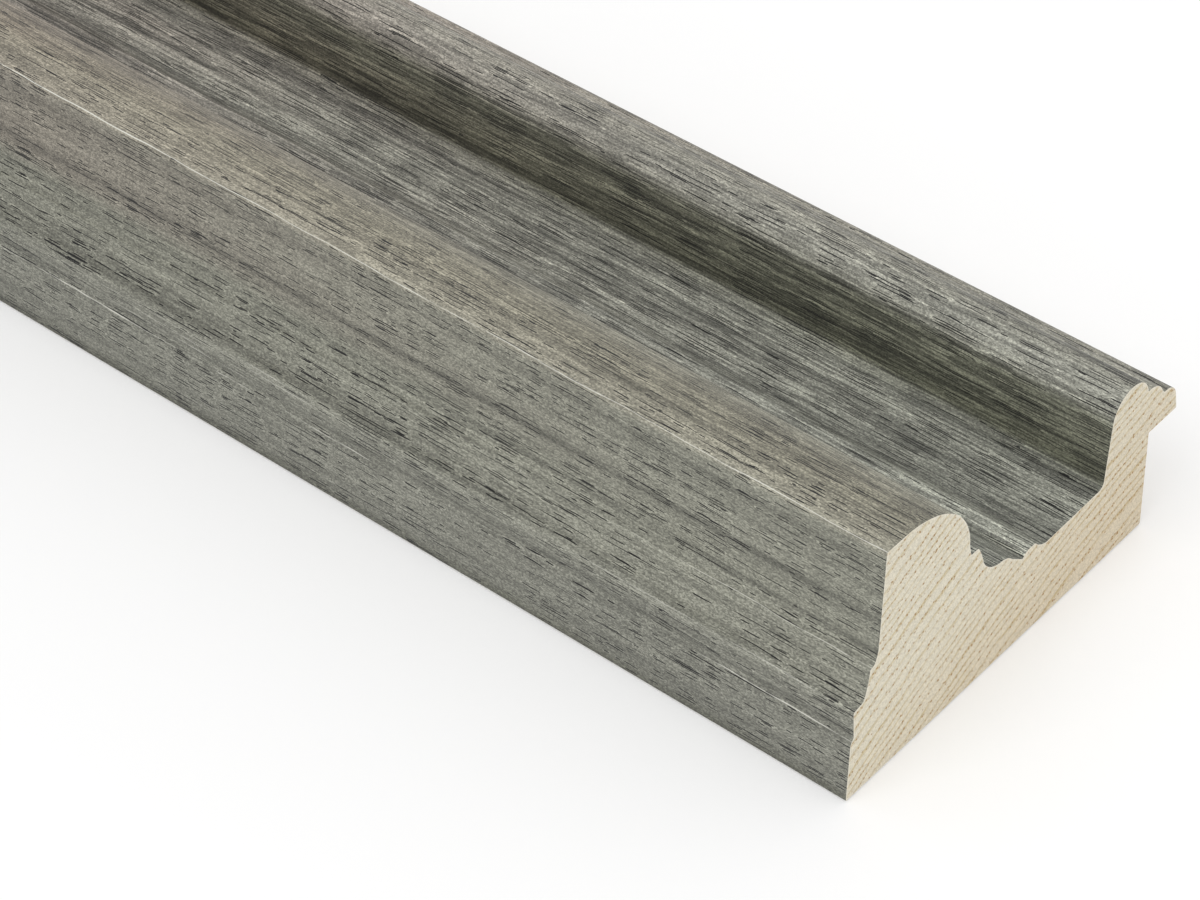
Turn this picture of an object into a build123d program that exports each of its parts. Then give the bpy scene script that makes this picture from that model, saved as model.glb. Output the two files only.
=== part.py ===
from build123d import *

import math
import os

os.makedirs("parts", exist_ok=True)

# A stick of picture frame moulding, in millimetres. It lies on its back, with its length along X.
# The section is drawn from the outer bottom corner, up the outer side, over the crest, down
# through the scoop to the sight edge, and home along the rebate and the back.
length = 1220.0  # a four-foot stick
height = 38.0  # from the back to the flat of the crest

# Rebate under the sight edge, which takes the glass, the picture and its backing
rebate_width = 6.3
rebate_depth = 16.3

# Outer side, from the back up
side_lean = 3.45  # degrees off the upright, on the plinth and on the upper face
plinth_height = 9.6
plinth_bevel_in = 0.62
plinth_bevel_rise = 0.9
band_height = 4.5
band_overhang = 0.2  # the band leans out towards its top
band_ledge_in = 1.95
band_ledge_rise = 0.4
side_cove_in = 1.15
side_cove_height = 4.6
side_cove_hollow = 0.2
cove_ledge_in = 0.85
cove_ledge_rise = 0.3
neck_in = 0.7
neck_height = 2.0
neck_hollow = 0.1

# Crest, whose roll takes up the height left above the ledge of the scoop
crest_flat = 3.4
crest_roll_width = 14.0
crest_foot_out = 0.4
crest_foot_height = 1.95

# Scoop, from its ledge down to its floor and across to the sight side
ledge_width = 1.55
shoulder_out = 1.3
shoulder_fall = 3.45
shoulder_bulge = 0.12
ogee_cove_width = 3.7
ogee_cove_fall = 2.85
ogee_cove_hollow = 0.6
ogee_roll_width = 2.6
ogee_roll_fall = 1.35
ogee_roll_bulge = 0.34
slope_width = 2.5
slope_fall = 1.9
strip_edge_width = 1.2
strip_edge_rise = 0.8
strip_edge_bulge = 0.2
strip_width = 1.45
floor_cove_width = 2.55
floor_cove_fall = 1.7
floor_cove_hollow = 0.3
floor_thickness = 13.6  # the wood between the back and the low side of the floor
floor_width = 11.5
floor_rise = 0.25
corner_width = 1.05
corner_height = 1.15
corner_hollow = 0.3
wall_out = 1.0

# Sight side: a large bead, then two small ones that step down to the sight edge
bead_width = 7.85
bead_rise = 3.45
bead_quirk = 0.6
small_bead_width = 2.9
small_bead_fall = 2.3
small_bead_bulge = 0.55
quirk_riser_out = 0.5
quirk_riser_fall = 0.6
quirk_floor = 0.8
edge_round_width = 2.1
edge_round_fall = 2.2
edge_round_bulge = 0.45
edge_face_out = 0.45
edge_face_height = 2.85

# Worked out from the sizes above
lean_per_rise = math.tan(math.radians(side_lean))
plinth_in = plinth_height * lean_per_rise
side_foot_height = (
    plinth_height
    + plinth_bevel_rise
    + band_height
    + band_ledge_rise
    + side_cove_height
    + cove_ledge_rise
    + neck_height
)
upper_face_height = height - side_foot_height
upper_face_in = upper_face_height * lean_per_rise
strip_height = floor_thickness + floor_cove_fall
ledge_height = (
    strip_height - strip_edge_rise + slope_fall + ogee_roll_fall + ogee_cove_fall + shoulder_fall
)
crest_roll_fall = height - crest_foot_height - ledge_height
bead_foot_height = (
    rebate_depth + edge_face_height + edge_round_fall + quirk_riser_fall + small_bead_fall
)
wall_height = bead_foot_height - corner_height - floor_rise - floor_thickness
side_width = (
    plinth_in
    + plinth_bevel_in
    - band_overhang
    + band_ledge_in
    + side_cove_in
    + cove_ledge_in
    + neck_in
    + upper_face_in
)
crest_width = crest_flat + crest_roll_width + crest_foot_out
ogee_width = ledge_width + shoulder_out + ogee_cove_width + ogee_roll_width + slope_width
floor_run = strip_edge_width + strip_width + floor_cove_width + floor_width + corner_width + wall_out
beads_width = bead_width + bead_quirk + small_bead_width + quirk_riser_out + quirk_floor
width = side_width + crest_width + ogee_width + floor_run + beads_width + edge_round_width + edge_face_out
back_width = width - rebate_width

section_plane = Plane(origin=(0, -width / 2, 0), x_dir=(0, 1, 0), z_dir=(1, 0, 0))

with BuildPart() as moulding:
    with BuildSketch(section_plane):
        with BuildLine():
            # Outer side
            plinth = Line((0, 0), (plinth_in, plinth_height))
            plinth_bevel = Line(plinth @ 1, plinth @ 1 + (plinth_bevel_in, plinth_bevel_rise))
            band = Line(plinth_bevel @ 1, plinth_bevel @ 1 + (-band_overhang, band_height))
            band_ledge = Line(band @ 1, band @ 1 + (band_ledge_in, band_ledge_rise))
            cove_top = band_ledge @ 1 + (side_cove_in, side_cove_height)
            side_cove = SagittaArc(band_ledge @ 1, cove_top, -side_cove_hollow)
            cove_ledge = Line(side_cove @ 1, side_cove @ 1 + (cove_ledge_in, cove_ledge_rise))
            neck = SagittaArc(cove_ledge @ 1, cove_ledge @ 1 + (neck_in, neck_height), -neck_hollow)
            upper_face = Line(neck @ 1, neck @ 1 + (upper_face_in, upper_face_height))

            # Crest
            crest = Line(upper_face @ 1, upper_face @ 1 + (crest_flat, 0))
            crest_roll = EllipticalCenterArc(
                crest @ 1 - (0, crest_roll_fall),
                crest_roll_width,
                crest_roll_fall,
                start_angle=90,
                arc_size=-90,
            )
            crest_foot = Line(crest_roll @ 1, crest_roll @ 1 + (crest_foot_out, -crest_foot_height))

            # Scoop
            ledge = Line(crest_foot @ 1, crest_foot @ 1 + (ledge_width, 0))
            shoulder_foot = ledge @ 1 + (shoulder_out, -shoulder_fall)
            shoulder = SagittaArc(ledge @ 1, shoulder_foot, shoulder_bulge)
            cove_foot = shoulder @ 1 + (ogee_cove_width, -ogee_cove_fall)
            ogee_cove = SagittaArc(shoulder @ 1, cove_foot, -ogee_cove_hollow)
            roll_foot = ogee_cove @ 1 + (ogee_roll_width, -ogee_roll_fall)
            ogee_roll = SagittaArc(ogee_cove @ 1, roll_foot, ogee_roll_bulge)
            slope = Line(ogee_roll @ 1, ogee_roll @ 1 + (slope_width, -slope_fall))
            strip_start = slope @ 1 + (strip_edge_width, strip_edge_rise)
            strip_edge = SagittaArc(slope @ 1, strip_start, strip_edge_bulge)
            strip = Line(strip_edge @ 1, strip_edge @ 1 + (strip_width, 0))
            floor_start = strip @ 1 + (floor_cove_width, -floor_cove_fall)
            floor_cove = SagittaArc(strip @ 1, floor_start, -floor_cove_hollow)
            floor = Line(floor_cove @ 1, floor_cove @ 1 + (floor_width, floor_rise))
            corner = SagittaArc(floor @ 1, floor @ 1 + (corner_width, corner_height), -corner_hollow)
            wall = Line(corner @ 1, corner @ 1 + (wall_out, wall_height))

            # Sight side
            bead = SagittaArc(wall @ 1, wall @ 1 + (bead_width, 0), bead_rise)
            quirk = Line(bead @ 1, bead @ 1 + (bead_quirk, 0))
            small_bead_foot = quirk @ 1 + (small_bead_width, -small_bead_fall)
            small_bead = SagittaArc(quirk @ 1, small_bead_foot, small_bead_bulge)
            quirk_riser = Line(small_bead @ 1, small_bead @ 1 + (quirk_riser_out, -quirk_riser_fall))
            quirk_flat = Line(quirk_riser @ 1, quirk_riser @ 1 + (quirk_floor, 0))
            edge_round_foot = quirk_flat @ 1 + (edge_round_width, -edge_round_fall)
            edge_round = SagittaArc(quirk_flat @ 1, edge_round_foot, edge_round_bulge)
            edge_face = Line(edge_round @ 1, edge_round @ 1 + (edge_face_out, -edge_face_height))

            # Rebate and back
            Polyline(edge_face @ 1, (back_width, rebate_depth), (back_width, 0), plinth @ 0)
        make_face()
    extrude(amount=length / 2, both=True)

moulding.part.label = "moulding"
export_step(moulding.part, "parts/moulding.step")
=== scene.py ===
import math

import bpy
import numpy as np
from mathutils import Matrix, Vector, noise
from mathutils.geometry import delaunay_2d_cdt


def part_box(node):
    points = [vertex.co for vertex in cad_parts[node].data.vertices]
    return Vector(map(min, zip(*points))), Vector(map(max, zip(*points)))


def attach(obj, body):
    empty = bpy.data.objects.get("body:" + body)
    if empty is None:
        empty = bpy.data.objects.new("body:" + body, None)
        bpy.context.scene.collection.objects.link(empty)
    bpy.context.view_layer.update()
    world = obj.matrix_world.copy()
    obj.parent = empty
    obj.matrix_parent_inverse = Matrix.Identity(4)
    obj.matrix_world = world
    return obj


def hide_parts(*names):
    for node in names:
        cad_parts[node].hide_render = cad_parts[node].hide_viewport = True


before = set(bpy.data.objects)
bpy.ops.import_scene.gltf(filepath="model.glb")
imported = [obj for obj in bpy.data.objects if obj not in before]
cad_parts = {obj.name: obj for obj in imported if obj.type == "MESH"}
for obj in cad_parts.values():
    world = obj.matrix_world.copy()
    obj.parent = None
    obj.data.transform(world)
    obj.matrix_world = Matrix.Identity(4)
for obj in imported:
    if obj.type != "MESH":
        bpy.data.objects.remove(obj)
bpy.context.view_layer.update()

# The stick lies on its back with its length along X. Sizes here are millimetres, as in the solid.
MM = 0.001
NODE = "moulding"
low, high = (Vector(corner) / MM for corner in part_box(NODE))
WIDTH = high.y - low.y
HEIGHT = high.z

# Rebate under the sight edge
REBATE_WIDTH = 6.3
REBATE_DEPTH = 16.3
# Steps of the section as (across, up), each from the end of the last. A bulge stands out of the wood,
# and a hollow is cut into it.
SIDE_LEAN = math.tan(math.radians(3.45))
PLINTH_HEIGHT = 9.6
PLINTH_BEVEL = (0.62, 0.9)
BAND = (-0.2, 4.5)
BAND_LEDGE = (1.95, 0.4)
SIDE_COVE = (1.15, 4.6)
SIDE_COVE_HOLLOW = 0.2
COVE_LEDGE = (0.85, 0.3)
NECK = (0.7, 2.0)
NECK_HOLLOW = 0.1
CREST_FLAT = 3.4
CREST_ROLL_WIDTH = 14.0
CREST_FOOT = (0.4, -1.95)
LEDGE_WIDTH = 1.55
SHOULDER = (1.3, -3.45)
SHOULDER_BULGE = 0.12
OGEE_COVE = (3.7, -2.85)
OGEE_COVE_HOLLOW = 0.6
OGEE_ROLL = (2.6, -1.35)
OGEE_ROLL_BULGE = 0.34
SLOPE = (2.5, -1.9)
STRIP_EDGE = (1.2, 0.8)
STRIP_EDGE_BULGE = 0.2
STRIP_WIDTH = 1.45
FLOOR_COVE = (2.55, -1.7)
FLOOR_COVE_HOLLOW = 0.3
FLOOR_THICKNESS = 13.6
FLOOR = (11.5, 0.25)
CORNER = (1.05, 1.15)
CORNER_HOLLOW = 0.3
WALL_OUT = 1.0
BEAD_WIDTH = 7.85
BEAD_RISE = 3.45
BEAD_QUIRK = 0.6
SMALL_BEAD = (2.9, -2.3)
SMALL_BEAD_BULGE = 0.55
QUIRK_RISER = (0.5, -0.6)
QUIRK_FLOOR = 0.8
EDGE_ROUND = (2.1, -2.2)
EDGE_ROUND_BULGE = 0.45
EDGE_FACE = (0.45, -2.85)

# How finely the section and the length are divided, and how soft the arrises are
ARC_STEP = 0.35
ROLL_STEPS = 44
LENGTH_STEPS = 240
EASE = 0.22  # how far back from a corner its rounding starts
EASE_SHARE = 0.45  # the most of a short span that a rounding takes
EASE_STEPS = 4
EASE_ANGLE = math.radians(22)  # a smaller turn isn't rounded
SHARP_ANGLE = math.radians(30)  # a larger turn is shaded as an edge
ARRIS_WEAR = 0.09  # how deep the rubbing goes at the most
ARRIS_WAVE = 26.0  # its length along the stick
ARRIS_SHIFT = 0.7  # what sets the rubbing of one arris apart from the next
RIM_WIDTH = 0.3  # the torn rim of the stain around a cut end
MERGE_GAP = 1e-6  # points of a cut end that are nearer than this are one

STAINED, RAW = 0, 1


class Section:
    """The outline of the section, drawn as a run of lines and arcs in (across, up) millimetres."""

    def __init__(self):
        self.points = [Vector((0.0, 0.0))]
        self.faces = []  # the material of the span that leaves each point
        self.marks = {}  # a name for the number of the point it was set at
        self.face = STAINED

    def mark(self, name):
        self.marks[name] = len(self.points) - 1

    def to(self, point):
        self.points.append(Vector(point))
        self.faces.append(self.face)

    def line(self, across, up):
        self.to(self.points[-1] + Vector((across, up)))

    def arc(self, step, bulge):
        """An arc over a step. A positive bulge stands out of the wood."""
        start, chord = self.points[-1], Vector(step)
        half, rise = chord.length / 2, abs(bulge)
        radius = (half * half + rise * rise) / (2 * rise)
        side = math.copysign(1, bulge)
        out = Vector((-chord.y, chord.x)).normalized() * side
        centre = start + chord / 2 + out * (rise - radius)
        swing = -side * 2 * math.atan2(half, radius - rise)
        steps = max(3, math.ceil(radius * abs(swing) / ARC_STEP))
        spoke = start - centre
        for i in range(1, steps + 1):
            self.to(centre + Matrix.Rotation(swing * i / steps, 2) @ spoke)

    def roll(self, across, fall):
        """A quarter of an ellipse that starts level and ends upright."""
        start = self.points[-1]
        for i in range(1, ROLL_STEPS + 1):
            angle = math.pi / 2 * i / ROLL_STEPS
            self.to(start + Vector((across * math.sin(angle), fall * (math.cos(angle) - 1))))


def draw_section():
    """The section from the outer bottom corner, over the moulded face and back to the same corner."""
    s = Section()
    # Outer side
    s.line(PLINTH_HEIGHT * SIDE_LEAN, PLINTH_HEIGHT)
    s.mark("plinth_top")
    s.line(*PLINTH_BEVEL)
    s.mark("band_foot")
    s.line(*BAND)
    s.mark("band_top")
    s.line(*BAND_LEDGE)
    s.arc(SIDE_COVE, -SIDE_COVE_HOLLOW)
    s.mark("cove_top")
    s.line(*COVE_LEDGE)
    s.arc(NECK, -NECK_HOLLOW)
    s.mark("upper_foot")
    rise = HEIGHT - s.points[-1].y
    s.line(rise * SIDE_LEAN, rise)
    s.mark("crest_arris")
    # Crest
    s.line(CREST_FLAT, 0)
    s.mark("roll_start")
    drops = (CREST_FOOT, SHOULDER, OGEE_COVE, OGEE_ROLL, SLOPE, STRIP_EDGE, FLOOR_COVE)
    s.roll(CREST_ROLL_WIDTH, HEIGHT - FLOOR_THICKNESS + sum(drop[1] for drop in drops))
    s.line(*CREST_FOOT)
    s.mark("crest_foot")
    # Scoop
    s.line(LEDGE_WIDTH, 0)
    s.arc(SHOULDER, SHOULDER_BULGE)
    s.arc(OGEE_COVE, -OGEE_COVE_HOLLOW)
    s.arc(OGEE_ROLL, OGEE_ROLL_BULGE)
    s.line(*SLOPE)
    s.arc(STRIP_EDGE, STRIP_EDGE_BULGE)
    s.line(STRIP_WIDTH, 0)
    s.arc(FLOOR_COVE, -FLOOR_COVE_HOLLOW)
    s.line(*FLOOR)
    s.mark("floor_end")
    s.arc(CORNER, -CORNER_HOLLOW)
    s.mark("wall_foot")
    bead_foot = REBATE_DEPTH - sum(step[1] for step in (SMALL_BEAD, QUIRK_RISER, EDGE_ROUND, EDGE_FACE))
    s.line(WALL_OUT, bead_foot - s.points[-1].y)
    s.mark("wall_top")
    # Sight side
    s.arc((BEAD_WIDTH, 0), BEAD_RISE)
    s.mark("bead_end")
    s.line(BEAD_QUIRK, 0)
    s.arc(SMALL_BEAD, SMALL_BEAD_BULGE)
    s.line(*QUIRK_RISER)
    s.line(QUIRK_FLOOR, 0)
    s.arc(EDGE_ROUND, EDGE_ROUND_BULGE)
    s.line(*EDGE_FACE)
    s.mark("sight_edge")
    # Rebate and back, left raw
    s.face = RAW
    s.line(-REBATE_WIDTH, 0)
    s.line(0, -REBATE_DEPTH)
    s.to((0.0, 0.0))
    return s


def mitred_inset(points, distance):
    """A closed clockwise outline moved inwards by a distance, with square mitres."""
    inner = []
    for i, point in enumerate(points):
        arrives = (point - points[i - 1]).normalized()
        leaves = (points[(i + 1) % len(points)] - point).normalized()
        first, second = Vector((arrives.y, -arrives.x)), Vector((leaves.y, -leaves.x))
        inner.append(point + (first + second) * distance / (1 + first.dot(second)))
    return inner


class Ring:
    """The section with its corners eased, and the distance along the outline at each point."""

    def __init__(self, section):
        corners = section.points[:-1]
        self.inner = mitred_inset(corners, RIM_WIDTH)
        self.points, self.faces, self.source, self.wear = [], [], [], []
        for i, point in enumerate(corners):
            before, after = corners[i - 1] - point, corners[(i + 1) % len(corners)] - point
            arrives, leaves = section.faces[i - 1], section.faces[i]
            if math.pi - before.angle(after) < EASE_ANGLE:
                self.add(point, leaves, i, Vector((0, 0)))
                continue
            room = min(EASE, before.length * EASE_SHARE, after.length * EASE_SHARE)
            start, end = point + before.normalized() * room, point + after.normalized() * room
            sticks_out = before.cross(after) > 0
            inward = (before.normalized() + after.normalized()).normalized() * sticks_out
            for step in range(EASE_STEPS + 1):
                t = step / EASE_STEPS
                place = start * (1 - t) ** 2 + point * 2 * t * (1 - t) + end * t * t
                face = leaves if step == EASE_STEPS else min(arrives, leaves)
                self.add(place, face, i, inward * math.sin(math.pi * t))
        following = self.points[1:] + self.points[:1]
        gaps = [(after - point).length for point, after in zip(self.points, following)]
        self.run = np.concatenate([[0.0], np.cumsum(gaps)])
        self.at = {}
        for name, number in section.marks.items():
            own = [self.run[i] for i, source in enumerate(self.source) if source == number]
            self.at[name] = float(np.mean(own))

    def add(self, point, face, source, wear):
        self.points.append(point)
        self.faces.append(face)
        self.source.append(source)
        self.wear.append(wear)


def swept_rows(ring, stations):
    """The eased section at each station, with its arrises worn down unevenly along the length."""
    rows = []
    for x in stations:
        row = []
        for point, source, wear in zip(ring.points, ring.source, ring.wear):
            depth = ARRIS_WEAR * (0.5 + 0.5 * noise.noise((x / ARRIS_WAVE, source * ARRIS_SHIFT, 0)))
            y, z = point + wear * depth
            row.append((x, low.y + y, z))
        rows.append(row)
    return rows


# Places of the faces in the map that the colours are baked to: the long faces take its whole width
MAP_EDGE = 0.004
MAP_STAINED = (0.004, 0.68)
MAP_RAW = (0.69, 0.87)
MAP_ENDS = (0.885, 0.996)


def between(span, share):
    return span[0] + (span[1] - span[0]) * share


def build_stick():
    """The whole stick as one closed mesh: the section swept along X, with a cut face at each end."""
    ring = Ring(draw_section())
    count = len(ring.points)
    stations = np.linspace(low.x, high.x, LENGTH_STEPS + 1)
    rows = swept_rows(ring, stations)
    verts = [point for row in rows for point in row]
    faces, materials, corner_maps = [], [], []

    stained_end = ring.run[max(i for i, face in enumerate(ring.faces) if face == STAINED) + 1]

    def map_across(place, face):
        if face == STAINED:
            return between(MAP_STAINED, place / stained_end)
        return between(MAP_RAW, (place - stained_end) / (ring.run[-1] - stained_end))

    for j, face in enumerate(ring.faces):
        k = (j + 1) % count
        v0, v1 = map_across(ring.run[j], face), map_across(ring.run[j + 1], face)
        for i in range(LENGTH_STEPS):
            a, b = i * count, (i + 1) * count
            u0, u1 = (between((MAP_EDGE, 1 - MAP_EDGE), step / LENGTH_STEPS) for step in (i, i + 1))
            faces.append((a + j, b + j, b + k, a + k))
            materials.append(face)
            corner_maps += [(u0, v0), (u1, v0), (u1, v1), (u0, v1)]

    # The cut ends, with a narrow rim just inside the outline
    loops = [(i, (i + 1) % count) for i in range(count)]
    inner_count = len(ring.inner)
    loops += [(count + i, count + (i + 1) % inner_count) for i in range(inner_count)]
    for row, left, outward in ((0, 0.0, -1), (LENGTH_STEPS, 0.5, 1)):
        outline = [Vector(point[1:]) for point in rows[row]]
        inner = [Vector((low.y, 0)) + point for point in ring.inner]
        flat, _, triangles, sources, _, _ = delaunay_2d_cdt(outline + inner, loops, [], 1, MERGE_GAP)
        numbers = []
        for point, source in zip(flat, sources):
            own = [number for number in source if number < count]
            numbers.append(row * count + own[0] if own else len(verts))
            if not own:
                verts.append((stations[row], *point))
        for triangle in triangles:
            triangle = triangle[::outward]
            faces.append([numbers[corner] for corner in triangle])
            materials.append(RAW)
            for corner in triangle:
                across, up = (flat[corner].x - low.y) / WIDTH, flat[corner].y / HEIGHT
                u = between((MAP_EDGE, 0.5 - MAP_EDGE), across) + left
                corner_maps.append((u, between(MAP_ENDS, up)))

    mesh = bpy.data.meshes.new("stick")
    mesh.from_pydata((np.array(verts) * MM).tolist(), [], faces)
    mesh.polygons.foreach_set("material_index", materials)
    mesh.polygons.foreach_set("use_smooth", [True] * len(faces))
    mesh.set_sharp_from_angle(angle=SHARP_ANGLE)
    mesh.uv_layers.new(name="OFBake").uv.foreach_set("vector", np.ravel(corner_maps))

    # What the materials read at each point: the place along and across the grain, and the stain's rim
    swept = len(rows) * count
    run = np.zeros((len(verts), 3))
    run[:swept, 0] = np.repeat(stations, count)
    run[:swept, 1] = np.tile(ring.run[:-1], len(rows))
    add_attribute(mesh, "run", "FLOAT_VECTOR", "vector", run)
    rim = np.zeros(len(verts))
    touches = [STAINED in (ring.faces[i - 1], face) for i, face in enumerate(ring.faces)]
    rim[:swept] = np.tile(touches, len(rows))
    add_attribute(mesh, "rim", "FLOAT", "value", rim)

    stick = bpy.data.objects.new("moulding_stick", mesh)
    bpy.context.collection.objects.link(stick)
    return stick, ring


def add_attribute(mesh, name, kind, field, values):
    attribute = mesh.attributes.new(name, kind, "POINT")
    attribute.data.foreach_set(field, np.asarray(values, dtype=np.float32).ravel())


def linear(share):
    """A display value from 0 to 1 as a linear one."""
    return share / 12.92 if share <= 0.04045 else ((share + 0.055) / 1.055) ** 2.4


def srgb(red, green, blue):
    """A colour picked in display values from 0 to 255, as the linear values that shaders take."""
    return tuple(linear(value / 255) for value in (red, green, blue))


class Shader:
    """A node tree, with a short method for each kind of node that the materials need."""

    def __init__(self, name):
        self.material = bpy.data.materials.new(name)
        self.material.use_nodes = True
        self.tree = self.material.node_tree
        self.surface = self.tree.nodes["Principled BSDF"]

    def put(self, socket, value):
        if isinstance(value, bpy.types.NodeSocket):
            self.tree.links.new(value, socket)
        else:
            socket.default_value = value

    def node(self, kind, inputs, **settings):
        node = self.tree.nodes.new(kind)
        for key, value in settings.items():
            setattr(node, key, value)
        for key, value in inputs.items():
            self.put(node.inputs[key], value)
        return node.outputs

    def attribute(self, name):
        return self.node("ShaderNodeAttribute", {}, attribute_name=name)

    def maths(self, operation, *values):
        return self.node("ShaderNodeMath", dict(enumerate(values)), operation=operation)[0]

    def joined(self, operation, values):
        """Any number of values as one, each put to the ones before it by the same operation."""
        result, *others = values
        for value in others:
            result = self.maths(operation, result, value)
        return result

    def spread(self, share, least, most):
        """A share from 0 to 1 as a value from least to most."""
        return self.maths("MULTIPLY_ADD", share, most - least, least)

    def vector(self, operation, *values):
        return self.node("ShaderNodeVectorMath", dict(enumerate(values)), operation=operation)[0]

    def scaled(self, vector, factor):
        return self.node("ShaderNodeVectorMath", {0: vector, "Scale": factor}, operation="SCALE")[0]

    def stretched(self, vector, *sizes):
        """A place divided by the size of a pattern along each axis."""
        return self.vector("MULTIPLY", vector, tuple(1 / size for size in sizes))

    def noise(self, vector, detail=2.0, roughness=0.5, dimensions="2D"):
        inputs = {"Vector": vector, "Scale": 1.0, "Detail": detail, "Roughness": roughness}
        return self.node("ShaderNodeTexNoise", inputs, noise_dimensions=dimensions)[0]

    def grain(self, place, along, across, detail=2.0):
        """Noise drawn out along the grain, from about -0.5 to 0.5."""
        return self.maths("SUBTRACT", self.noise(self.stretched(place, along, across, 1), detail), 0.5)

    def ramp(self, value, start, end, first=0.0, last=1.0):
        """A smooth step from first at start to last at end."""
        inputs = {0: value, 1: start, 2: end, 3: first, 4: last}
        return self.node("ShaderNodeMapRange", inputs, interpolation_type="SMOOTHSTEP")[0]

    def length(self, vector):
        return self.node("ShaderNodeVectorMath", {0: vector}, operation="LENGTH")["Value"]

    def cells(self, vector, dimensions="2D"):
        """The way from the nearest cell's middle, and two random shares for that cell."""
        inputs = {"Vector": vector, "Scale": 1.0, "Randomness": 0.85}
        outputs = self.node("ShaderNodeTexVoronoi", inputs, voronoi_dimensions=dimensions)
        shares = self.node("ShaderNodeSeparateColor", {0: outputs["Color"]})
        return self.vector("SUBTRACT", vector, outputs["Position"]), shares[0], shares[1]

    def flecks(self, place, along, across):
        """A random value, from -0.5 to 0.5, for each of many flecks drawn out along the grain."""
        return self.maths("SUBTRACT", self.cells(self.stretched(place, along, across, 1))[1], 0.5)

    def mixed(self, factor, first, second):
        inputs = {0: factor, 6: first, 7: second}
        for key in (6, 7):
            if not isinstance(inputs[key], bpy.types.NodeSocket):
                inputs[key] = (*inputs[key], 1.0)
        return self.node("ShaderNodeMix", inputs, data_type="RGBA")[2]

    def stops(self, value, end, stops):
        """Colours read between stops, which are places from 0 to end, in order."""
        outputs = self.node("ShaderNodeValToRGB", {0: self.maths("DIVIDE", value, end)})
        elements = outputs[0].node.color_ramp.elements
        while len(elements) < len(stops):
            elements.new(1.0)
        for element, (place, colour) in zip(elements, stops):
            element.position = place / end
            element.color = colour if len(colour) == 4 else (*colour, 1.0)
        return outputs

    def finish(self, colour, roughness, height, depth):
        bump = self.node("ShaderNodeBump", {"Strength": 1.0, "Distance": depth, "Height": height})[0]
        for name, value in (("Base Color", colour), ("Roughness", roughness), ("Normal", bump)):
            self.put(self.surface.inputs[name], value)
        return self.material


# Colours of the stain along the section, with painted shade at the foot and in the scoop's recess, and
# painted highlight in the pale lines
# Painted shade: darker along the bottom edge, where the side meets the floor
FOOT_TONE = srgb(84, 84, 73)
PLINTH_TONE = srgb(126, 126, 116)
SIDE_TONE = srgb(130, 130, 118)
CREST_TONE = srgb(150, 147, 132)
ROLL_TONE = srgb(125, 122, 107)
ROLL_FAR_TONE = srgb(150, 149, 136)
SCOOP_TONE = srgb(133, 134, 124)
# Painted shade of the scoop's recess: the wall darker, darkest at its foot
WALL_FOOT_TONE = srgb(87, 88, 75)
WALL_TONE = srgb(108, 109, 96)
BEAD_TONE = srgb(139, 139, 129)
BEAD_FAR_TONE = srgb(133, 132, 121)
EDGE_TONE = srgb(138, 136, 124)
EDGE_FOOT_TONE = srgb(108, 106, 95)
PORE_DARK = srgb(5, 5, 4)
# Pale colour of the lines on the arrises: partly rubbed wear, partly painted highlight
PALE_WEAR_AND_HIGHLIGHT = srgb(226, 225, 214)
WARM = (0.97, 0.82, 0.835)
WARM_PLACE = 240.0  # from the near end to the middle of the first warm stretch
WARM_LENGTH = 480.0  # from one warm stretch to the next

# Along the section: strength of the fibre lines, and shares of large pores, fine pores and warm patches
PLINTH_FIGURE = (0.09, 0.65, 0.12, 0.05)
LOW_SIDE_FIGURE = (0.17, 0.7, 0.2, 0.05)
SIDE_FIGURE = (0.12, 0.75, 0.15, 0.9)
CREST_FIGURE = (0.2, 0.8, 0.25, 1.0)
SCOOP_FIGURE = (0.38, 0.08, 0.58, 0.8)
WALL_FIGURE = (0.48, 0.08, 0.5, 1.0)
BEAD_FIGURE = (0.28, 0.35, 0.45, 1.0)

# Soft dark bands of the outer side: from where, how far, half their width and how dark
DARK_BANDS = (
    ("plinth_top", -5.7, 1.0, 0.24),
    ("band_foot", 0.8, 0.8, 0.2),
    ("band_top", 0.9, 1.0, 0.26),
    ("upper_foot", -0.6, 1.0, 0.3),
    ("upper_foot", 4.6, 0.85, 0.38),
    ("upper_foot", 9.3, 0.7, 0.22),
    ("upper_foot", 12.8, 0.8, 0.2),
)

# Pale lines, partly rubbed wear and partly painted highlight: from where, how far, how strong, and the
# level of noise below which they break off
WORN_AND_HIGHLIGHT_LINES = (
    ("crest_arris", 0.0, 0.9, 0.46),
    ("plinth_top", 0.6, 0.8, 0.56),
    ("band_foot", 1.3, 0.7, 0.56),
    ("band_foot", 2.4, 0.75, 0.56),
    ("band_foot", 3.5, 0.5, 0.57),
    ("band_top", 0.0, 0.55, 0.55),
    ("cove_top", 0.3, 0.7, 0.52),
    ("roll_start", 12.6, 0.7, 0.55),
)
PALE_LINE_CORE = 0.3  # the share of a line's half width that is pale in full
PALE_LINE_ENDS = (-0.04, 0.1)  # around that level of noise, where a line starts and where it is full

# Pores as dashes: the length and width of the cell that each lies in, and half the dash's width
LARGE_PORES = ((4.2, 0.44, 0.083), (3.0, 0.57, 0.075))
FINE_PORES = ((11.0, 0.36, 0.067),)
DASH_HALF_LENGTHS = (0.1, 0.5)  # the shortest and the longest, as shares of the cell
DASH_EDGE = (1.15, 0.85)  # where a dash ends and where it is full, in half widths
LIP_EDGE = (2.4, 1.6)  # the same for the painted highlight on the lips beside it
FULL_DASHES = 0.85  # the share of the dashes that is full, while the others are fainter
# How much the painted highlight on the lips of the pores lightens the stain
LIP_PALENESS = 0.35
STREAK_CROWDING = -0.5  # pores crowd in dark streaks
BAND_CROWDING = 0.25  # and in dark bands

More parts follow.
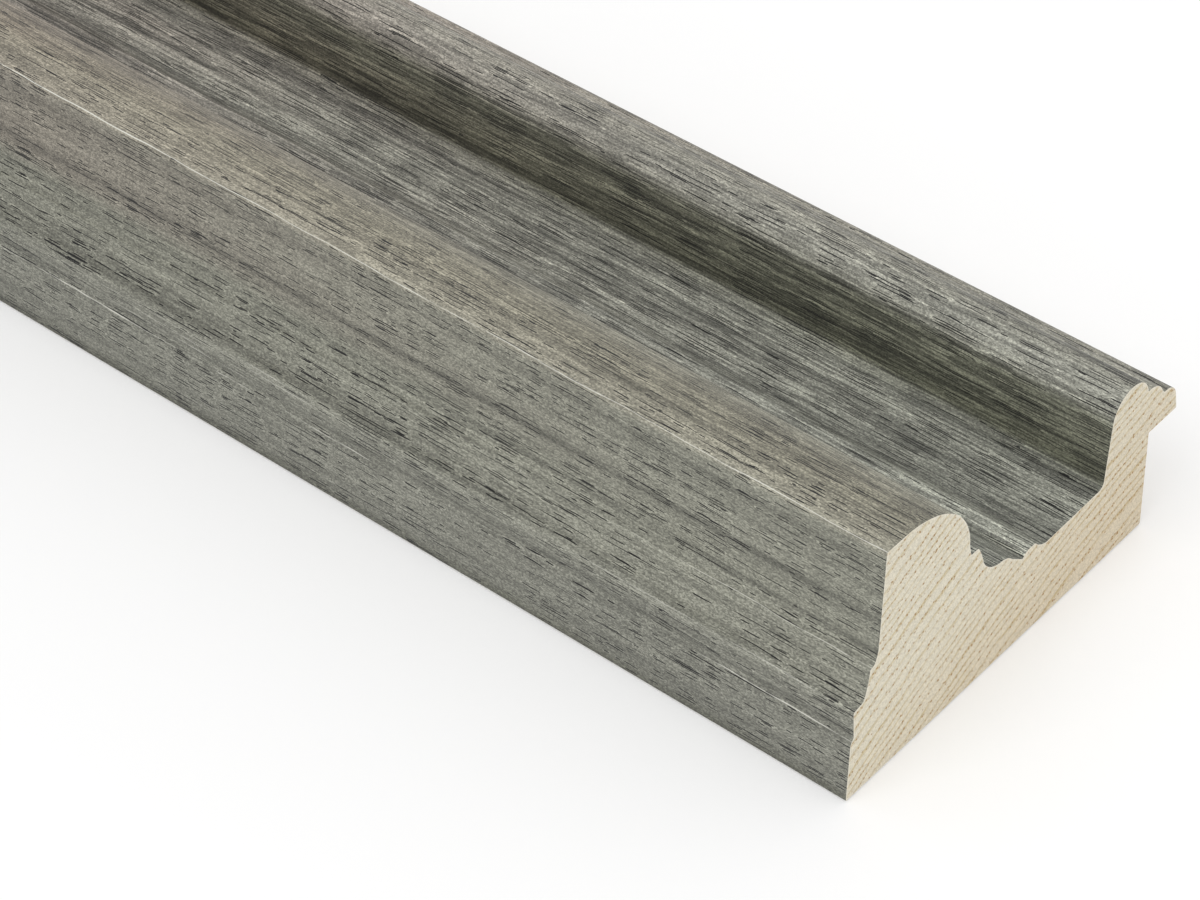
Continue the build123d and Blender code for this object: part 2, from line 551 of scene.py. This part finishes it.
# How the grain sways: the size of each wave along and across, and its swing
SWAYS = (
    ((150.0, 30.0), 1.5),
    ((40.0, 8.0), 0.6),
    ((7.0, 2.0), 0.3),
)
BAND_DRIFT = 3.0  # how far the dark bands wander
PALE_LINE_WANDER = 0.7  # how far the pale lines do

# Sizes of the stain's patterns along and across the grain
SAND_SIZE = (0.24, 0.14)
FIBRE_SIZE = (5.0, 0.2)
THREAD_SIZE = (25.0, 0.45)
STREAK_SIZE = (110.0, 2.0)
BROAD_SIZE = (260.0, 4.5)
CLUSTER_SIZE = (30.0, 1.5)
WARM_SIZE = (170.0, 18.0)
BAND_DRIFT_SIZE = (260.0, 40.0)
BAND_FADE_SIZE = (90.0, 4.0)
PALE_LINE_WANDER_SIZE = (14.0, 6.0)
PALE_LINE_WIDTH_SIZE = (18.0, 3.0)
PALE_LINE_GAP_SIZE = (40.0, 3.0)

# How strong the patterns are, and the tops that cut their pale side off
SAND = 0.9
FIBRE = 3.0
FIBRE_TOP = 0.3
THREAD = 2.5
STREAK = 5.0
STREAK_TOP = 0.06
BROAD = 3.5
BROAD_ON_WALL = 0.5  # from the wall to the sight edge
BROAD_FADE = 3.0  # how far before the floor's end it starts to weaken

# What follows a pattern: the two values that it runs between, and what is made of the one and the other
WARM_PATCHES = (-0.15, 0.05, 0.5, 1.0)
BAND_FADE = (-0.15, 0.1, 0.6, 1.0)
PORE_CHANCE = (-0.15, 0.2, 0.1, 0.55)
PALE_LINE_HALF_WIDTH = (-0.08, 0.15, 0.0595, 0.119)
STAIN_ROUGHNESS = (-0.8, 0.8, 0.66, 0.5)

STAIN_RELIEF = 0.06 * MM  # depth of a pore
FIBRE_RELIEF = 0.15  # height of the fibre, as a share of it


def tone_stops(at):
    return [
        # Painted shade along the bottom edge, where the side meets the floor
        (0.0, FOOT_TONE),
        (2.4, PLINTH_TONE),
        (at["plinth_top"], PLINTH_TONE),
        (at["upper_foot"], SIDE_TONE),
        (at["crest_arris"] - 0.6, SIDE_TONE),
        (at["crest_arris"], CREST_TONE),
        (at["roll_start"] + 2.5, ROLL_TONE),
        (at["roll_start"] + 6.0, ROLL_TONE),
        (at["roll_start"] + 14.0, ROLL_FAR_TONE),
        (at["crest_foot"], SCOOP_TONE),
        (at["floor_end"] - 1.0, SCOOP_TONE),
        # Painted shade of the recess, from the corner up the wall
        (at["wall_foot"], WALL_FOOT_TONE),
        (at["wall_top"] - 0.6, WALL_TONE),
        (at["wall_top"] + 0.9, BEAD_TONE),
        (at["wall_top"] + 4.0, BEAD_TONE),
        (at["wall_top"] + 6.5, BEAD_FAR_TONE),
        (at["bead_end"], BEAD_FAR_TONE),
        (at["bead_end"] + 2.0, EDGE_TONE),
        (at["sight_edge"] - 5.0, EDGE_TONE),
        (at["sight_edge"] - 3.2, EDGE_FOOT_TONE),
    ]


def figure_stops(at):
    return [
        (0.0, PLINTH_FIGURE),
        (at["plinth_top"] - 2.0, PLINTH_FIGURE),
        (at["band_foot"], LOW_SIDE_FIGURE),
        (at["upper_foot"], LOW_SIDE_FIGURE),
        (at["upper_foot"] + 3.0, SIDE_FIGURE),
        (at["crest_arris"] - 0.5, SIDE_FIGURE),
        (at["crest_arris"] + 0.5, CREST_FIGURE),
        (at["crest_foot"], SCOOP_FIGURE),
        (at["floor_end"], SCOOP_FIGURE),
        (at["wall_foot"], WALL_FIGURE),
        (at["wall_top"], WALL_FIGURE),
        (at["wall_top"] + 2.0, BEAD_FIGURE),
        (at["sight_edge"], BEAD_FIGURE),
    ]


def dashes(m, place, along, across, reach, chance):
    """Thin dashes along the grain, in a share of the cells that chance gives: how dark they make a point,
    and how pale the painted highlight on the lips beside them."""
    offset, share, other = m.cells(m.stretched(place, along, across, 1))
    way = m.node("ShaderNodeSeparateXYZ", {0: offset})
    ahead = m.maths("DIVIDE", way["X"], m.spread(other, *DASH_HALF_LENGTHS))
    aside = m.maths("MULTIPLY", way["Y"], across / reach)
    away = m.length(m.node("ShaderNodeCombineXYZ", {0: m.maths("MULTIPLY", ahead, ahead), 1: aside})[0])
    depth = m.ramp(share, chance, m.maths("MULTIPLY", chance, FULL_DASHES))
    dark = m.maths("MULTIPLY", m.ramp(away, *DASH_EDGE), depth)
    pale = m.maths("MULTIPLY", m.ramp(away, *LIP_EDGE), depth)
    return dark, pale


def pore_marks(m, place, large_chance, fine_chance):
    """How dark all the pores make a point, and how pale the painted highlight on their lips."""
    marks = [dashes(m, place, *pore, large_chance) for pore in LARGE_PORES]
    marks += [dashes(m, place, *pore, fine_chance) for pore in FINE_PORES]
    return [m.joined("MAXIMUM", values) for values in zip(*marks)]


def swayed(m, run):
    """The place along and across the grain, which sways a little from side to side."""
    waves = [m.maths("MULTIPLY", m.grain(run, *size), swing) for size, swing in SWAYS]
    return m.vector("ADD", run, m.node("ShaderNodeCombineXYZ", {1: m.joined("ADD", waves)})[0])


def dark_bands(m, run, across, at):
    """How dark the soft bands of the outer side make a point."""
    drift = m.maths("MULTIPLY_ADD", m.grain(run, *BAND_DRIFT_SIZE), BAND_DRIFT, across)
    bands = []
    for mark, offset, reach, depth in DARK_BANDS:
        away = m.maths("ABSOLUTE", m.maths("SUBTRACT", drift, at[mark] + offset))
        bands.append(m.ramp(away, reach, 0.0, 0.0, depth))
    fade = m.ramp(m.grain(run, *BAND_FADE_SIZE), *BAND_FADE)
    return m.maths("MULTIPLY", m.joined("ADD", bands), fade)


def warm_tint(m, run, along, share):
    """What the colour is multiplied by, in warm stretches that come and go along the stick."""
    patches = m.maths("MULTIPLY", m.ramp(m.grain(run, *WARM_SIZE), *WARM_PATCHES), share)
    turn = m.maths("DIVIDE", m.maths("SUBTRACT", along, high.x - WARM_PLACE), WARM_LENGTH / math.tau)
    stretch = m.maths("MULTIPLY_ADD", m.maths("COSINE", turn), 0.5, 0.5)
    return m.mixed(m.maths("MULTIPLY", stretch, patches), (1, 1, 1), WARM)


def pale_wear_and_highlights(m, run, across, at, colour):
    """A colour with the pale lines laid over it, partly rubbed wear and partly painted highlight, which
    wander and break off.
    """
    wander = m.maths("MULTIPLY_ADD", m.grain(run, *PALE_LINE_WANDER_SIZE), PALE_LINE_WANDER, across)
    reach = m.ramp(m.grain(run, *PALE_LINE_WIDTH_SIZE), *PALE_LINE_HALF_WIDTH)
    covered = m.noise(m.stretched(run, *PALE_LINE_GAP_SIZE, 1), detail=5.0, roughness=0.7)
    for mark, offset, strength, gap in WORN_AND_HIGHLIGHT_LINES:
        away = m.maths("ABSOLUTE", m.maths("SUBTRACT", wander, at[mark] + offset))
        line = m.ramp(m.maths("DIVIDE", away, reach), 1.0, PALE_LINE_CORE, 0.0, strength)
        line = m.maths("MULTIPLY", line, m.ramp(covered, *(gap + end for end in PALE_LINE_ENDS)))
        colour = m.mixed(line, colour, PALE_WEAR_AND_HIGHLIGHT)
    return colour


def grey_stain(ring):
    """Grey stain on open-pored wood: soft streaks, fine fibre, dark pores with a painted highlight on
    their lips, and pale lines on the arrises, partly rubbed wear and partly painted highlight.
    """
    m = Shader("grey_stain")
    run = m.attribute("run")["Vector"]
    along, across, _ = m.node("ShaderNodeSeparateXYZ", {0: run})
    place = swayed(m, run)
    tone = m.stops(across, ring.run[-1], tone_stops(ring.at))["Color"]
    figure = m.stops(across, ring.run[-1], figure_stops(ring.at))
    fibre_share, large_share, fine_share = m.node("ShaderNodeSeparateColor", {0: figure["Color"]})

    # Light and dark, from the finest fibre to the broadest streaks, as a power of e
    sand = m.flecks(run, *SAND_SIZE)
    fibre = m.flecks(place, *FIBRE_SIZE)
    streak = m.grain(place, *STREAK_SIZE, detail=1.0)
    fade_start, fade_end = ring.at["floor_end"] - BROAD_FADE, ring.at["wall_foot"]
    broad = m.ramp(across, fade_start, fade_end, BROAD, BROAD_ON_WALL)
    lines = m.joined("ADD", [
        m.maths("MULTIPLY", m.maths("MINIMUM", fibre, FIBRE_TOP), FIBRE),
        m.maths("MULTIPLY", m.grain(place, *THREAD_SIZE, detail=1.0), THREAD),
        m.maths("MULTIPLY", m.maths("MINIMUM", streak, STREAK_TOP), STREAK),
        m.maths("MULTIPLY", m.grain(place, *BROAD_SIZE, detail=1.0), broad),
    ])
    shade = m.maths("MULTIPLY_ADD", lines, fibre_share, m.maths("MULTIPLY", sand, SAND))
    bands = dark_bands(m, run, across, ring.at)
    colour = m.scaled(tone, m.maths("EXPONENT", m.maths("SUBTRACT", shade, bands)))
    colour = m.vector("MULTIPLY", colour, warm_tint(m, run, along, figure["Alpha"]))

    # Pores, in clusters that follow the dark streaks and bands
    crowd = m.maths("MULTIPLY_ADD", streak, STREAK_CROWDING, m.grain(place, *CLUSTER_SIZE))
    crowd = m.maths("MULTIPLY_ADD", bands, BAND_CROWDING, crowd)
    chance = m.maths("MULTIPLY", m.ramp(crowd, *PORE_CHANCE), large_share)
    pore, lip = pore_marks(m, place, chance, fine_share)
    # Painted highlight on the lips beside each pore
    colour = m.scaled(colour, m.maths("MULTIPLY_ADD", lip, LIP_PALENESS, 1.0))
    colour = m.mixed(pore, colour, PORE_DARK)
    # Pale lines on the arrises: partly rubbed wear, partly painted highlight
    colour = pale_wear_and_highlights(m, run, across, ring.at, colour)

    height = m.maths("MULTIPLY_ADD", fibre, FIBRE_RELIEF, m.maths("MULTIPLY", pore, -1.0))
    roughness = m.ramp(m.maths("ADD", fibre, sand), *STAIN_ROUGHNESS)
    return m.finish(colour, roughness, height, STAIN_RELIEF)


# Colours of the raw wood
SAPWOOD = srgb(217, 210, 191)
HEARTWOOD = srgb(210, 197, 173)
RING_SHADE = (0.82, 0.745, 0.57)
WOOD_PORE = srgb(152, 107, 42)
WOOD_RIM = srgb(234, 230, 216)
PITH = (113.0, -205.0)  # the middle of the tree, across and up from the outer bottom corner
HEART_RADIUS, SAP_RADIUS = 211.0, 246.0

# Growth rings, where four values follow a pattern in the same way as for the stain
RING_GAP = 1.75
RING_WAVE = 1.6  # how far they sway
RING_WAVE_SIZE = (120.0, 9.0, 9.0)
RING_CROWDING = 7.0  # how far they are pushed together or apart
RING_CROWDING_SCALE = 0.09
LINE_START = (0.55, 0.88)  # the share of a ring at which its dark line comes up, and at which it is full
LINE_END = (1.0, 0.9)  # where the line ends, and where it stops being full
LINE_STRENGTH = (0.3, 0.7, 0.5, 1.1)
LINE_STRENGTH_SIZE = (60.0, 7.0, 5.0)
LINE_RELIEF = 0.3  # its depth, as a share of a pore's

# Mottle and pores of the raw wood
MOTTLE = (0.2, 0.8, 0.8, 1.2)
MOTTLE_SIZE = (20.0, 0.25, 0.25)
WOOD_PORE_SIZE = (40.0, 0.6, 0.6)  # the cell that each lies in
WOOD_PORE_EDGE = (0.38, 0.2)  # where a pore ends and where it is full, as shares of the cell
WOOD_PORE_DEPTHS = (0.4, 0.95)  # the faintest and the darkest
PORES_BY_RING = (0.5, 0.75, 0.03, 0.65)
PORES_BY_STRENGTH = (0.3, 0.8, 0.35, 1.0)
RIM_PALENESS = 0.6
WOOD_ROUGHNESS = 0.75
WOOD_RELIEF = 0.05 * MM  # depth of a pore


def raw_wood():
    """Pale raw wood, whose growth rings and pores run through the stick and show on its cut ends."""
    m = Shader("raw_wood")
    place = m.scaled(m.node("ShaderNodeTexCoord", {})["Object"], 1 / MM)
    rim = m.attribute("rim")["Fac"]

    pith = (0, low.y + PITH[0], PITH[1])
    spoke = m.vector("MULTIPLY", m.vector("SUBTRACT", place, pith), (0, 1, 1))
    radius = m.length(spoke)
    colour = m.mixed(m.ramp(radius, HEART_RADIUS, SAP_RADIUS), HEARTWOOD, SAPWOOD)

    # Growth rings, of uneven width and a little wavy
    wave = m.noise(m.stretched(place, *RING_WAVE_SIZE), 3.0, 0.55, "3D")
    inputs = {"W": radius, "Scale": RING_CROWDING_SCALE, "Detail": 1.0}
    crowding = m.node("ShaderNodeTexNoise", inputs, noise_dimensions="1D")[0]
    rings = m.maths("MULTIPLY_ADD", wave, RING_WAVE, radius)
    rings = m.maths("MULTIPLY_ADD", crowding, RING_CROWDING, rings)
    phase = m.maths("FRACT", m.maths("DIVIDE", rings, RING_GAP))
    line = m.maths("MULTIPLY", m.ramp(phase, *LINE_START), m.ramp(phase, *LINE_END))
    strength = m.noise(m.stretched(place, *LINE_STRENGTH_SIZE), dimensions="3D")
    strength = m.ramp(strength, *LINE_STRENGTH)
    shaded = m.vector("MULTIPLY", colour, RING_SHADE)
    colour = m.mixed(m.maths("MULTIPLY", line, strength), colour, shaded)

    mottle = m.noise(m.stretched(place, *MOTTLE_SIZE), 2.0, 0.65, "3D")
    colour = m.scaled(colour, m.ramp(mottle, *MOTTLE))

    # Pores, which crowd along the rings
    offset, share, other = m.cells(m.stretched(place, *WOOD_PORE_SIZE), "3D")
    near = m.maths("MULTIPLY", m.ramp(phase, *PORES_BY_RING), m.ramp(strength, *PORES_BY_STRENGTH))
    present = m.maths("LESS_THAN", share, near)
    depth = m.spread(other, *WOOD_PORE_DEPTHS)
    pore = m.joined("MULTIPLY", [m.ramp(m.length(offset), *WOOD_PORE_EDGE), present, depth])
    colour = m.mixed(pore, colour, WOOD_PORE)

    colour = m.mixed(m.maths("MULTIPLY", rim, RIM_PALENESS), colour, WOOD_RIM)
    height = m.maths("MULTIPLY_ADD", line, -LINE_RELIEF, m.maths("MULTIPLY", pore, -1.0))
    return m.finish(colour, WOOD_ROUGHNESS, height, WOOD_RELIEF)


# Camera, fitted to the edges of the cut end and to the lines along the stick
IMAGE_WIDTH = 1200
FOCAL_PIXELS = 4130.91
SENSOR = 36.0
EYE_FROM_END_CORNER = Vector((202.8, -278.7, 380.6))
EYE_RIGHT = Vector((0.76574, 0.64293, -0.01703))
EYE_UP = Vector((-0.42904, 0.53036, 0.73119))


def add_camera():
    data = bpy.data.cameras.new("camera")
    data.sensor_width = SENSOR
    data.lens = FOCAL_PIXELS * SENSOR / IMAGE_WIDTH
    camera = bpy.data.objects.new("camera", data)
    bpy.context.collection.objects.link(camera)
    turn = Matrix((EYE_RIGHT, EYE_UP, EYE_RIGHT.cross(EYE_UP))).transposed().to_4x4()
    eye = (Vector((high.x, low.y, 0)) + EYE_FROM_END_CORNER) * MM
    camera.matrix_world = Matrix.Translation(eye) @ turn
    bpy.context.scene.camera = camera


# Studio, in metres
FLOOR_COLOUR = 0.8
FLOOR_ROUGHNESS = 0.9
FLOOR_LIFT = 0.21  # what the camera sees over the lit floor, so that it reads as white
FLOOR_REACH = 12.0
FLOOR_DROP = 0.0002
SKY = 0.85
# Soft lights, each as its place from the near end of the stick, its size and its power in watts
LIGHTS = {
    "key": (Vector((-0.2, -1.4, 2.2)), 1.6, 11.0),
    "fill": (Vector((2.0, -0.5, 0.9)), 1.2, 8.0),
}


def seen(shader):
    """1 for what the camera sees, straight or in a reflection, and 0 for light on its way to a surface."""
    path = shader.node("ShaderNodeLightPath", {})
    straight = shader.maths("MAXIMUM", path["Is Camera Ray"], path["Is Glossy Ray"])
    return shader.maths("MAXIMUM", straight, path["Is Transmission Ray"])


def add_floor():
    """A wide pale floor under the stick, which keeps its shadow."""
    mesh = bpy.data.meshes.new("floor")
    signs = ((-1, -1), (1, -1), (1, 1), (-1, 1))
    corners = [(x * FLOOR_REACH, y * FLOOR_REACH, -FLOOR_DROP) for x, y in signs]
    mesh.from_pydata(corners, [], [(0, 1, 2, 3)])
    floor = bpy.data.objects.new("floor", mesh)
    bpy.context.collection.objects.link(floor)
    m = Shader("floor")
    surface = m.surface.inputs
    surface["Base Color"].default_value = (FLOOR_COLOUR, FLOOR_COLOUR, FLOOR_COLOUR, 1)
    surface["Roughness"].default_value = FLOOR_ROUGHNESS
    surface["Specular IOR Level"].default_value = 0.0
    surface["Emission Color"].default_value = (1, 1, 1, 1)
    m.put(surface["Emission Strength"], m.maths("MULTIPLY", seen(m), FLOOR_LIFT))
    mesh.materials.append(m.material)


class Sky(Shader):
    """The studio's soft light from all round, with its own node tree."""

    def __init__(self, name):
        world = bpy.data.worlds.new(name)
        world.use_nodes = True
        bpy.context.scene.world = world
        self.tree = world.node_tree
        self.surface = self.tree.nodes["Background"]


def add_studio():
    m = Sky("studio")
    m.surface.inputs["Color"].default_value = (1, 1, 1, 1)
    m.put(m.surface.inputs["Strength"], m.ramp(seen(m), 0.0, 1.0, SKY, 1.0))
    for name, (place, size, power) in LIGHTS.items():
        data = bpy.data.lights.new(name, "AREA")
        data.shape = "SQUARE"
        data.size = size
        data.energy = power
        light = bpy.data.objects.new(name, data)
        bpy.context.collection.objects.link(light)
        light.location = Vector((high.x * MM, 0, 0)) + place
        light.rotation_euler = (-place).to_track_quat("-Z", "Y").to_euler()
    bpy.context.scene.view_settings.view_transform = "Standard"


add_camera()
stick, ring = build_stick()
for material in (grey_stain(ring), raw_wood()):
    stick.data.materials.append(material)
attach(stick, "root")
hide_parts(NODE)
add_floor()
add_studio()
